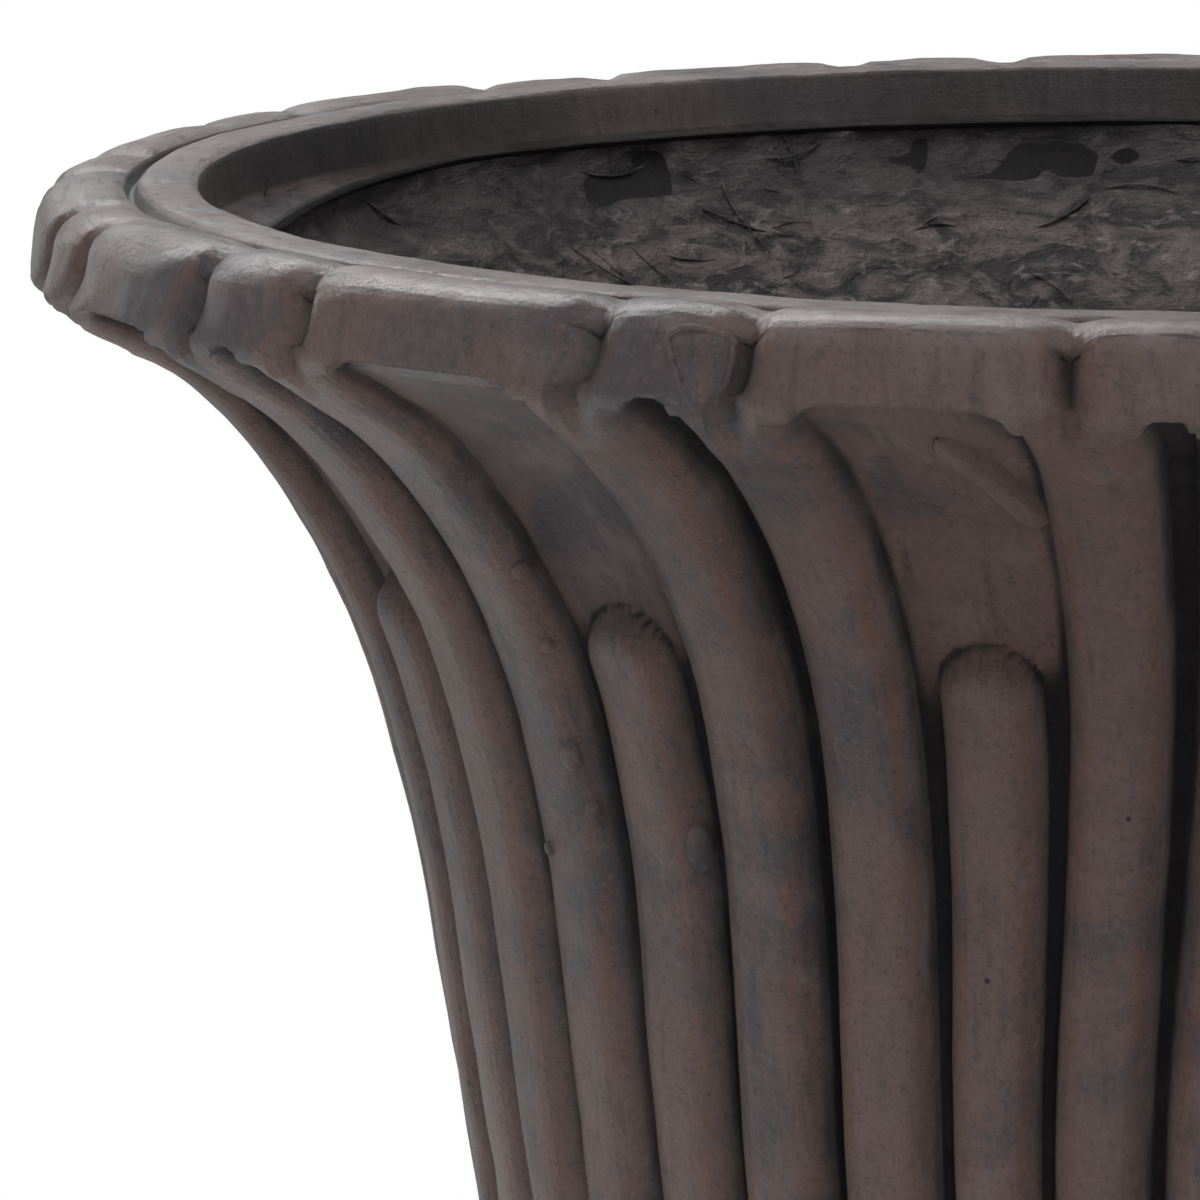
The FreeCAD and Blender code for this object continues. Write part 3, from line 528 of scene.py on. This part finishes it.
# Painted shade in the panels' upper corners beside the ribs.
corner = 0.55 * np.exp(-((drop - 22) / 9) ** 2 - (fromRib / 10) ** 2)
paintedShade = np.where(inGap, gapDark, np.where(isRib, flankDark, reedDark))
paintedShade = np.where(outer, recess * np.clip(paintedShade + np.where(isRib & ~inGap, 0, corner), 0, 1), 0)
paintedShade = paintedShade * (0.8 + 0.25 * lumps(flat, 12, 21))
# Painted shade in the notches between the leaf tips.
paintedShade = np.maximum(paintedShade, np.where(onTop, 0.55 * vee * crownShare, 0))
inRing = row < ringRows
inSeam = inRing & (rowHeight < -1.9) & (rowRadius > 234.9)
onRingWall = inRing & (rowRadius < 222.3) & (rowRadius > 219.4) & (rowHeight < -0.8)
onLedge = inRing & (rowRadius < 219.4) & (rowRadius > 209.8)
underLedge = (inRing & (rowRadius < 209.7)) | (row > len(line) - 8)
# Painted shade in the seam, on the ring wall and under the ledge.
paintedShade = np.where(inSeam, 0.9, paintedShade)
paintedShade = np.where(onRingWall, 0.42 + 0.2 * waver, paintedShade)
# The ledge is painted darker towards the back.
paintedShade = np.where(onLedge, 0.5 * smooth(angle, 92, 128), paintedShade)
paintedShade = np.where(underLedge, 0.85, paintedShade)
shoulder = np.exp(-((step - 0.66) / 0.17) ** 2) * ~inGap * raised
wear = np.where(outer, recess * (0.7 * shoulder + 0.3 * raised), 0)
edgeRust = np.exp(-((fromRib - 2.6) / 1.3) ** 2) * (1 - lowGap) * ~between
wear = np.maximum(wear, np.where(outer & inGap, recess * 0.9 * edgeRust, 0))
notchRust = np.exp(-((fromNotch - 5.5) / 2.6) ** 2)
wear = np.maximum(wear, np.where(onTop, 0.75 * crownShare * notchRust, 0))
wear = np.clip(wear + 0.5 * knob, 0, 1)
lengthDown = np.concatenate([[0], np.cumsum(np.linalg.norm(np.diff(line, axis=0), axis=1))])[:, None]
turned = np.radians(np.where(even > 270, even - 360, even))
skin = np.stack([turned * 0.2, lengthDown * mm + 0 * turned, 0 * turned], axis=-1)
castBowl = ringGrid("castBowl", bowlGrid, bowlMaterial, [("paintedShade", paintedShade), ("wear", wear), ("skin", skin)])
drillDrain(castBowl, drain["radius"], bowl["floorLow"], bowl["floorHigh"])
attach(castBowl, "urn")
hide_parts("bowl", "inner_ring")
print("bowl made", len(castBowl.data.vertices))

# Fibre mat inside the bowl.
mat = {
    "face": 20.9, "back": 17.5, "fromAngle": 46.0, "floorFace": -358.5, "floorBack": -362.0, "columns": 900,
    "topEdge": [(211.6, -27.2), (213.2, -24.8), (214.4, -22.2), (214.6, -20.0), (216.2, -20.2),
                (216.6, -23.0)],
    "roughOut": 0.9, "roughUp": 0.3, "backLift": (3.6, 6.0),
    "strands": {"Density": 2600.0, "Seed": 8, "Thickness": 0.00028},
}


# Millimetres between the rows of the mat's face, closest near its top edge.
def matSpacing(height):
    return np.interp(-height, [0, 110, 400], [1.6, 5.0, 9.0])


floorFace, floorBack = mat["floorFace"], mat["floorBack"]
matFace = stations(crestLine(mat["face"], mat["fromAngle"], floorFace), matSpacing)[::-1]
matBack = crestLine(mat["back"], mat["fromAngle"], floorBack)
matBack = stations(matBack, lambda height: np.full_like(height, 30.0))
floorEdge = [(5.9, floorBack), (5.9, floorFace), (35, floorFace), (70, floorFace)]
matLine = np.concatenate([floorEdge, matFace[1:], mat["topEdge"], matBack[:-1],
                          [(60, floorBack), (30, floorBack)]])
matAngle = np.linspace(0, 360, mat["columns"], endpoint=False)[None, :]
matRadius, matHeight = matLine[:, 0][:, None], matLine[:, 1][:, None]
matFlat = around(matAngle + 0 * matRadius, matRadius + 0 * matAngle, matHeight + 0 * matAngle)
flatter = matFlat * np.array([1, 1, 2.4])
rough = 1.1 * lumps(flatter, 19, 31) - 1.6 * np.abs(lumps(flatter, 12, 34))
rough = rough + 0.7 * lumps(flatter, 6, 32) + 0.6
rowNumber = np.arange(len(matLine))[:, None]
faced = (rowNumber > 3) & (rowNumber < 7 + len(matFace))
push = np.where(faced, rough, 0)
matTurned = np.where(matAngle > 180, 360 - matAngle, matAngle)
lifted = smooth(matHeight, -31, -21) * smooth(matTurned, 92, 132)
liftOut, liftUp = mat["backLift"]
matOut = matRadius - push * mat["roughOut"] + liftOut * lifted
matUp = matHeight + push * mat["roughUp"] + liftUp * lifted
matGrid = around(matAngle + 0 * matRadius, matOut, matUp)
# Painted shade on the mat's top edge, where it sits under the ring's ledge.
matPaintedShade = smooth(matHeight, -33, -27) * (0.8 + 0.2 * lumps(matFlat, 25, 35))
fibreMat = ringGrid("fibreMat", matGrid, fibreMaterial, [("paintedShade", matPaintedShade)])
drillDrain(fibreMat, drain["radius"], bowl["floorLow"], 0.310)
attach(fibreMat, "urn")
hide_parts("fibre_backing")
print("mat made", len(fibreMat.data.vertices))

# The skin's point, outward direction and downward direction at an angle and height.
def onSkin(atAngle, atHeight):
    rows = np.arange(ringRows + 8, outsideEnd)
    chosenRow = rows[np.argmin(np.abs(line[rows, 1] - atHeight))]
    chosen = np.argmin(np.abs(angle[chosenRow] - atAngle))
    spot = bowlGrid[chosenRow, chosen]
    downward = bowlGrid[chosenRow + 1, chosen] - bowlGrid[chosenRow - 1, chosen]
    sideways = bowlGrid[chosenRow, chosen + 1] - bowlGrid[chosenRow, chosen - 1]
    outward = np.cross(sideways, downward)
    outward *= np.sign(np.dot(outward[:2], spot[:2])) / np.linalg.norm(outward)
    return spot, outward, downward / np.linalg.norm(downward)


# Marks of the casting, each sunk half into the skin. A blister is angle, height, half length down,
# half width and how far it stands out; a path is a list of angle and height.
marks = {
    "blisters": [(37.7, -125.1, 5.4, 2.9, 2.0), (45.7, -66.5, 2.4, 2.1, 1.5), (45.9, -83.5, 1.7, 1.5, 1.0),
                 (46.6, -107.2, 3.6, 2.3, 1.6), (46.8, -120.7, 2.6, 1.8, 1.2), (51.5, -128, 1.7, 1.4, 1.0)],
    "patch": [(23.4, -20.0), (22.7, -13), (22.2, -6), (22.2, -1.6), (23.6, -0.6), (25.0, -1.6), (25.0, -7),
              (24.4, -14), (23.7, -20.0)],
    "sliver": [(13.9, -28.3), (12.9, -33), (11.6, -39), (10.6, -44), (9.7, -48.4)],
    "patchSize": (0.9, 0.6), "sliverSize": (3.4, 4.4),
}


# One mesh from several lists of points and faces, in millimetres over the ring.
def joinedMesh(name, parts, material):
    points, faces = [], []
    for partPoints, partFaces in parts:
        faces += [[len(points) + corner for corner in face] for face in partFaces]
        points += [tuple(point) for point in partPoints]
    points = np.array(points) * mm + np.array([0, 0, ringTop])
    return meshPiece(name, points.tolist(), faces, material)


# A lens-shaped bubble of the casting.
def blister(atAngle, atHeight, length, width, stand):
    spot, outward, downward = onSkin(atAngle, atHeight)
    sideways = np.cross(outward, downward)
    rings, sides = 9, 16
    points = [spot + outward * stand]
    for ring in range(1, rings):
        tilt = math.pi * ring / rings
        for turn in range(sides):
            turned = 2 * math.pi * turn / sides
            points.append(spot + outward * stand * math.cos(tilt)
                          + downward * length * math.sin(tilt) * math.cos(turned)
                          + sideways * width * math.sin(tilt) * math.sin(turned))
    points.append(spot - outward * stand)
    last = len(points) - 1
    lastRing = last - sides
    faces = [[0, 1 + turn, 1 + (turn + 1) % sides] for turn in range(sides)]
    for start in range(1, lastRing, sides):
        below = start + sides
        faces += [[start + turn, below + turn, below + (turn + 1) % sides, start + (turn + 1) % sides]
                  for turn in range(sides)]
    faces += [[lastRing + turn, last, lastRing + (turn + 1) % sides] for turn in range(sides)]
    return points, faces


# A ridge along a path on the skin, narrower at both ends; it is averaged over the nearest points.
def ridge(path, width, stand):
    path, sides, reach = np.array(path), 8, 5
    fine = np.linspace(0, len(path) - 1, 8 * len(path))
    path = np.stack([np.interp(fine, np.arange(len(path)), path[:, axis]) for axis in (0, 1)], axis=-1)
    found = np.array([np.stack(onSkin(*spot)) for spot in path])
    padded = np.concatenate([found[:1]] * reach + [found] + [found[-1:]] * reach)
    places = [padded[index:index + 2 * reach + 1].mean(axis=0) for index in range(len(found))]
    points, count = [], len(places)
    for index, (spot, outward, _) in enumerate(places):
        along = places[min(index + 1, count - 1)][0] - places[max(index - 1, 0)][0]
        sideways = np.cross(outward, along / max(np.linalg.norm(along), 1e-6))
        outward = outward / np.linalg.norm(outward)
        size = math.sqrt(max(0.02, 1 - (2 * index / (count - 1) - 1) ** 4))
        for turn in range(sides):
            turned = 2 * math.pi * turn / sides
            points.append(spot + sideways * width * size * math.cos(turned)
                          + outward * stand * size * math.sin(turned))
    faces = []
    for start in range(0, sides * (count - 1), sides):
        following = start + sides
        faces += [[start + turn, start + (turn + 1) % sides, following + (turn + 1) % sides, following + turn]
                  for turn in range(sides)]
    faces += [list(range(sides)), list(range(sides * count - 1, sides * (count - 1) - 1, -1))]
    return points, faces


markParts = [blister(*mark) for mark in marks["blisters"]]
markParts += [ridge(marks[path], *marks[path + "Size"]) for path in ("patch", "sliver")]
castMarks = joinedMesh("castMarks", markParts, bowlMaterial)
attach(castMarks, "urn")


# Builds one Geometry Nodes tree and grows a piece with it.
class Growth:
    def __init__(self, name, inputs):
        self.group = bpy.data.node_groups.new(name, "GeometryNodeTree")
        sockets = self.group.interface
        sockets.new_socket("Geometry", in_out="INPUT", socket_type="NodeSocketGeometry")
        for label, kind in inputs:
            sockets.new_socket(label, in_out="INPUT", socket_type="NodeSocket" + kind)
        sockets.new_socket("Geometry", in_out="OUTPUT", socket_type="NodeSocketGeometry")
        self.start = self.add("NodeGroupInput")
        self.end = self.add("NodeGroupOutput")

    def add(self, kind, values=(), **settings):
        node = self.group.nodes.new(kind)
        for key, value in settings.items():
            setattr(node, key, value)
        for key, value in dict(values).items():
            if isinstance(value, bpy.types.NodeSocket):
                self.group.links.new(value, node.inputs[key])
            else:
                node.inputs[key].default_value = value
        return node

    def math(self, operation, first, second=0.0):
        return self.add("ShaderNodeMath", {0: first, 1: second}, operation=operation).outputs[0]

    # Realizes what was made, gives it its material and closes the group.
    def close(self, geometry):
        real = self.add("GeometryNodeRealizeInstances", {"Geometry": geometry}).outputs[0]
        smoothed = self.add("GeometryNodeSetShadeSmooth", {"Geometry": real}).outputs[0]
        finish = self.start.outputs["Material"]
        dressed = self.add("GeometryNodeSetMaterial", {"Geometry": smoothed, "Material": finish})
        self.group.links.new(dressed.outputs[0], self.end.inputs[0])

    # Runs the group on a mesh and keeps the result as a plain mesh.
    def grow(self, name, mesh, values):
        holder = bpy.data.objects.new(name + "Holder", mesh)
        bpy.context.scene.collection.objects.link(holder)
        modifier = holder.modifiers.new("growth", "NODES")
        modifier.node_group = self.group
        for item in self.group.interface.items_tree:
            if item.in_out == "INPUT" and item.name in values:
                modifier[item.identifier] = values[item.name]
        bpy.context.view_layer.update()
        grown = holder.evaluated_get(bpy.context.evaluated_depsgraph_get())
        result = bpy.data.meshes.new_from_object(grown)
        result.name = name
        bpy.data.objects.remove(holder)
        return placed(name, result)


# A quarter of an ellipse on the pedestal's profile.
def profileSweep(centre, reach, turns):
    return [(centre[0] + reach[0] * math.sin(math.radians(turn)), 0,
             centre[1] + reach[1] * math.cos(math.radians(turn))) for turn in turns]


# Pedestal: a profile of (radius, squareness, height) turned about the axis, in millimetres.
pedestal = {
    "segments": 240, "rows": 300, "squareness": 26.0, "plateCut": (0.250, 0.275),
    "cap": [(5.9, 0, 269), (78.8, 0, 269), (80, 0, 267.8), (80, 0, 258)],
    "neck": profileSweep((80, 216), (-22, 42), range(6, 91, 7)),
    "collar": [(64.8, 0, 216), (66, 0, 214.8), (66, 0, 203.2), (64.8, 0, 202), (58, 0, 202)],
    "foot": profileSweep((113, 186), (-55, -114), range(90, -1, -5)),
    "plinth": [(124.5, 0, 72), (126, 0, 70.5), (126, 0, 50), (136, 1, 50), (139.9, 1, 46), (139.9, 1, 4.5),
               (139.4, 1, 4)],
    "hollow": [(48, 0, 4), (48, 0, 256), (5.9, 0, 256), (5.9, 0, 269)],
}
lathe = Growth("urnLathe", [("Segments", "Int"), ("Rows", "Int"), ("Squareness", "Float"),
                            ("Material", "Material")])
profileCurve = lathe.add("GeometryNodeMeshToCurve", {"Mesh": lathe.start.outputs["Geometry"]}).outputs[0]
sheetNode = lathe.add("GeometryNodeMeshGrid", {
    "Size X": 1.0, "Size Y": 1.0, "Vertices X": lathe.start.outputs["Segments"],
    "Vertices Y": lathe.start.outputs["Rows"]})
spot = lathe.add("ShaderNodeSeparateXYZ", {0: lathe.add("GeometryNodeInputPosition").outputs[0]})
turnAngle = lathe.math("MULTIPLY", lathe.math("ADD", spot.outputs[0], 0.5), 2 * math.pi)
share = lathe.math("ADD", spot.outputs[1], 0.5)
sample = lathe.add("GeometryNodeSampleCurve", {"Curves": profileCurve, "Factor": share}, mode="FACTOR")
profileSpot = lathe.add("ShaderNodeSeparateXYZ", {0: sample.outputs["Position"]})
sideSine, sideCosine = lathe.math("SINE", turnAngle), lathe.math("COSINE", turnAngle)
power = lathe.start.outputs["Squareness"]
sumOfPowers = lathe.math("ADD", lathe.math("POWER", lathe.math("ABSOLUTE", sideSine), power),
                         lathe.math("POWER", lathe.math("ABSOLUTE", sideCosine), power))
squareReach = lathe.math("POWER", sumOfPowers, lathe.math("DIVIDE", -1.0, power))
isSquare = lathe.math("MULTIPLY", profileSpot.outputs[1], 1000.0)      # scaled to metres with the rest
extra = lathe.math("MULTIPLY", lathe.math("SUBTRACT", squareReach, 1.0), isSquare)
reachOut = lathe.math("MULTIPLY", profileSpot.outputs[0], lathe.math("ADD", 1.0, extra))
turnedSpot = lathe.add("ShaderNodeCombineXYZ", {
    0: lathe.math("MULTIPLY", reachOut, sideSine), 1: lathe.math("MULTIPLY", reachOut, sideCosine),
    2: profileSpot.outputs[2]})
lathed = lathe.add("GeometryNodeSetPosition", {
    "Geometry": sheetNode.outputs[0], "Position": turnedSpot.outputs[0]})
closed = lathe.add("GeometryNodeMergeByDistance", {"Geometry": lathed.outputs[0], "Distance": 0.00002})
lathe.close(closed.outputs[0])
profileMesh = bpy.data.meshes.new("pedestalProfile")
profileParts = [pedestal[part] for part in ("cap", "neck", "collar", "foot", "plinth", "hollow")]
profilePoints = [tuple(value * mm for value in point) for point in itertools.chain(*profileParts)]
profileMesh.from_pydata(profilePoints, [(index, index + 1) for index in range(len(profilePoints) - 1)], [])
castPedestal = lathe.grow("castPedestal", profileMesh, {
    "Segments": pedestal["segments"] + 1, "Rows": pedestal["rows"] + 1, "Squareness": pedestal["squareness"],
    "Material": castMaterial("pedestalCasting")})
drillDrain(castPedestal, drain["plateRadius"], *pedestal["plateCut"])
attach(castPedestal, "urn")
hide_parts("pedestal")
print("pedestal grown", len(castPedestal.data.vertices))

# Strands of glass fibre scattered over the mat, each a short bent thread lying on it.
strands = Growth("matStrands", [("Density", "Float"), ("Seed", "Int"), ("Thickness", "Float"),
                                ("Material", "Material")])
scattered = strands.add("GeometryNodeDistributePointsOnFaces", {
    "Mesh": strands.start.outputs["Geometry"], "Density": strands.start.outputs["Density"],
    "Seed": strands.start.outputs["Seed"]})
bent = strands.add("GeometryNodeCurveQuadraticBezier", {
    "Resolution": 7, "Start": (-0.009, 0, -0.0006), "Middle": (0, 0.005, 0.0012),
    "End": (0.009, 0.001, -0.0006)})
section = strands.add("GeometryNodeCurvePrimitiveCircle", {
    "Resolution": 5, "Radius": strands.start.outputs["Thickness"]})
thread = strands.add("GeometryNodeCurveToMesh", {
    "Curve": bent.outputs[0], "Profile Curve": section.outputs[0], "Fill Caps": True})
spin = strands.add("FunctionNodeRandomValue", {2: 0.0, 3: 6.283, "Seed": 5}, data_type="FLOAT")
turning = strands.add("FunctionNodeAxisAngleToRotation", {"Axis": (0, 0, 1), "Angle": spin.outputs[1]})
turnedBy = strands.add("FunctionNodeRotateRotation", {
    "Rotation": scattered.outputs["Rotation"], "Rotate By": turning.outputs[0]}, rotation_space="LOCAL")
sizes = strands.add("FunctionNodeRandomValue", {2: 0.4, 3: 1.5, "Seed": 6}, data_type="FLOAT")
threads = strands.add("GeometryNodeInstanceOnPoints", {
    "Points": scattered.outputs["Points"], "Instance": thread.outputs[0], "Rotation": turnedBy.outputs[0],
    "Scale": sizes.outputs[1]})
strands.close(threads.outputs[0])
matStrands = strands.grow("matStrands", fibreMat.data.copy(), {**mat["strands"], "Material": fibreMaterial})
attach(matStrands, "urn")
print("strands grown", len(matStrands.data.vertices))

# Hardware keeps its CAD shape and gets better materials.
hardware = {
    "joint_gasket": plainMaterial("gasketRubber", (0.03, 0.03, 0.03), 0.6),
    "drain_plug": plainMaterial("plugRubber", (0.035, 0.035, 0.036), 0.5),
    "foot_pads": plainMaterial("padRubber", (0.04, 0.04, 0.04), 0.7),
    "seal_washer": plainMaterial("sealRubber", (0.035, 0.035, 0.035), 0.6),
}
zinc = plainMaterial("zincPlate", (0.55, 0.55, 0.56), 0.32, 1.0, 900, 0.00005)
for node in ("centre_bolt", "upper_washer", "lower_washer", "centre_nut"):
    hardware[node] = zinc
for node, material in hardware.items():
    part = bpy.data.objects.get(node)
    if part is None:
        print("no object called", node)
        continue
    for materialSlot in part.material_slots:
        materialSlot.material = material

# Camera, fitted to the photograph; lengths in metres, angles in degrees.
shot = {
    "distance": 2.300, "rise": 0.271575, "lens": 322.92, "sensor": 36,
    "yaw": 3.382, "pitch": -9.008, "roll": 0.086,
}
yaw, pitch, roll = (math.radians(shot[key]) for key in ("yaw", "pitch", "roll"))
forward = Vector((-math.sin(yaw) * math.cos(pitch), math.cos(yaw) * math.cos(pitch), math.sin(pitch)))
right = Vector((math.cos(yaw), math.sin(yaw), 0))
up = right.cross(forward)
rolledRight = right * math.cos(roll) + up * math.sin(roll)
rolledUp = up * math.cos(roll) - right * math.sin(roll)
cameraData = bpy.data.cameras.new("camera")
cameraData.lens = shot["lens"]
cameraData.sensor_width = shot["sensor"]
cameraData.clip_end = 100
camera = bpy.data.objects.new("camera", cameraData)
camera.matrix_world = Matrix.Translation((0, -shot["distance"], ringTop + shot["rise"])) @ Matrix(
    (rolledRight, rolledUp, -forward)).transposed().to_4x4()
bpy.context.scene.collection.objects.link(camera)
bpy.context.scene.camera = camera

# Floor, light and background.
floorShader = Shader("paleFloor")
floorShader.surface.inputs["Base Color"].default_value = (0.86, 0.86, 0.86, 1)
floorShader.surface.inputs["Roughness"].default_value = 0.9
floorRadius = 1.3
rim = [(floorRadius * math.cos(math.radians(turn)), floorRadius * math.sin(math.radians(turn)), 0)
       for turn in range(0, 360, 5)]
floor = meshPiece("floor", rim, [list(range(len(rim)))], floorShader.material, False)

world = bpy.data.worlds.new("world")
bpy.context.scene.world = world
world.use_nodes = True
nodes, links = world.node_tree.nodes, world.node_tree.links
nodes.clear()
worldOutput = nodes.new("ShaderNodeOutputWorld")
soft, white, choose = (nodes.new(kind) for kind in (
    "ShaderNodeBackground", "ShaderNodeBackground", "ShaderNodeMixShader"))
rays = nodes.new("ShaderNodeLightPath")
soft.inputs["Color"].default_value = (1.0, 0.98, 1.0, 1)
soft.inputs["Strength"].default_value = 0.42
links.new(rays.outputs["Is Camera Ray"], choose.inputs[0])
links.new(soft.outputs[0], choose.inputs[1])
links.new(white.outputs[0], choose.inputs[2])
white.inputs["Color"].default_value = (1, 1, 1, 1)
links.new(choose.outputs[0], worldOutput.inputs["Surface"])


def areaLight(name, place, target, size, power):
    data = bpy.data.lights.new(name, "AREA")
    data.shape = "DISK"
    data.size = size
    data.energy = power
    light = bpy.data.objects.new(name, data)
    light.location = place
    light.rotation_euler = (Vector(target) - Vector(place)).to_track_quat("-Z", "Y").to_euler()
    bpy.context.scene.collection.objects.link(light)


areaLight("keyLight", (-1.5, -0.7, 2.2), (0, 0, 0.6), 1.1, 34)
areaLight("backLight", (-0.9, 1.9, 1.9), (0, 0, 0.65), 0.9, 44)
areaLight("topLight", (0.4, 0.2, 2.6), (0, 0, 0.6), 1.4, 22)
areaLight("frontLight", (0.5, -2.6, 0.5), (0, 0, 0.45), 1.4, 32)
bpy.context.scene.view_settings.view_transform = "Standard"
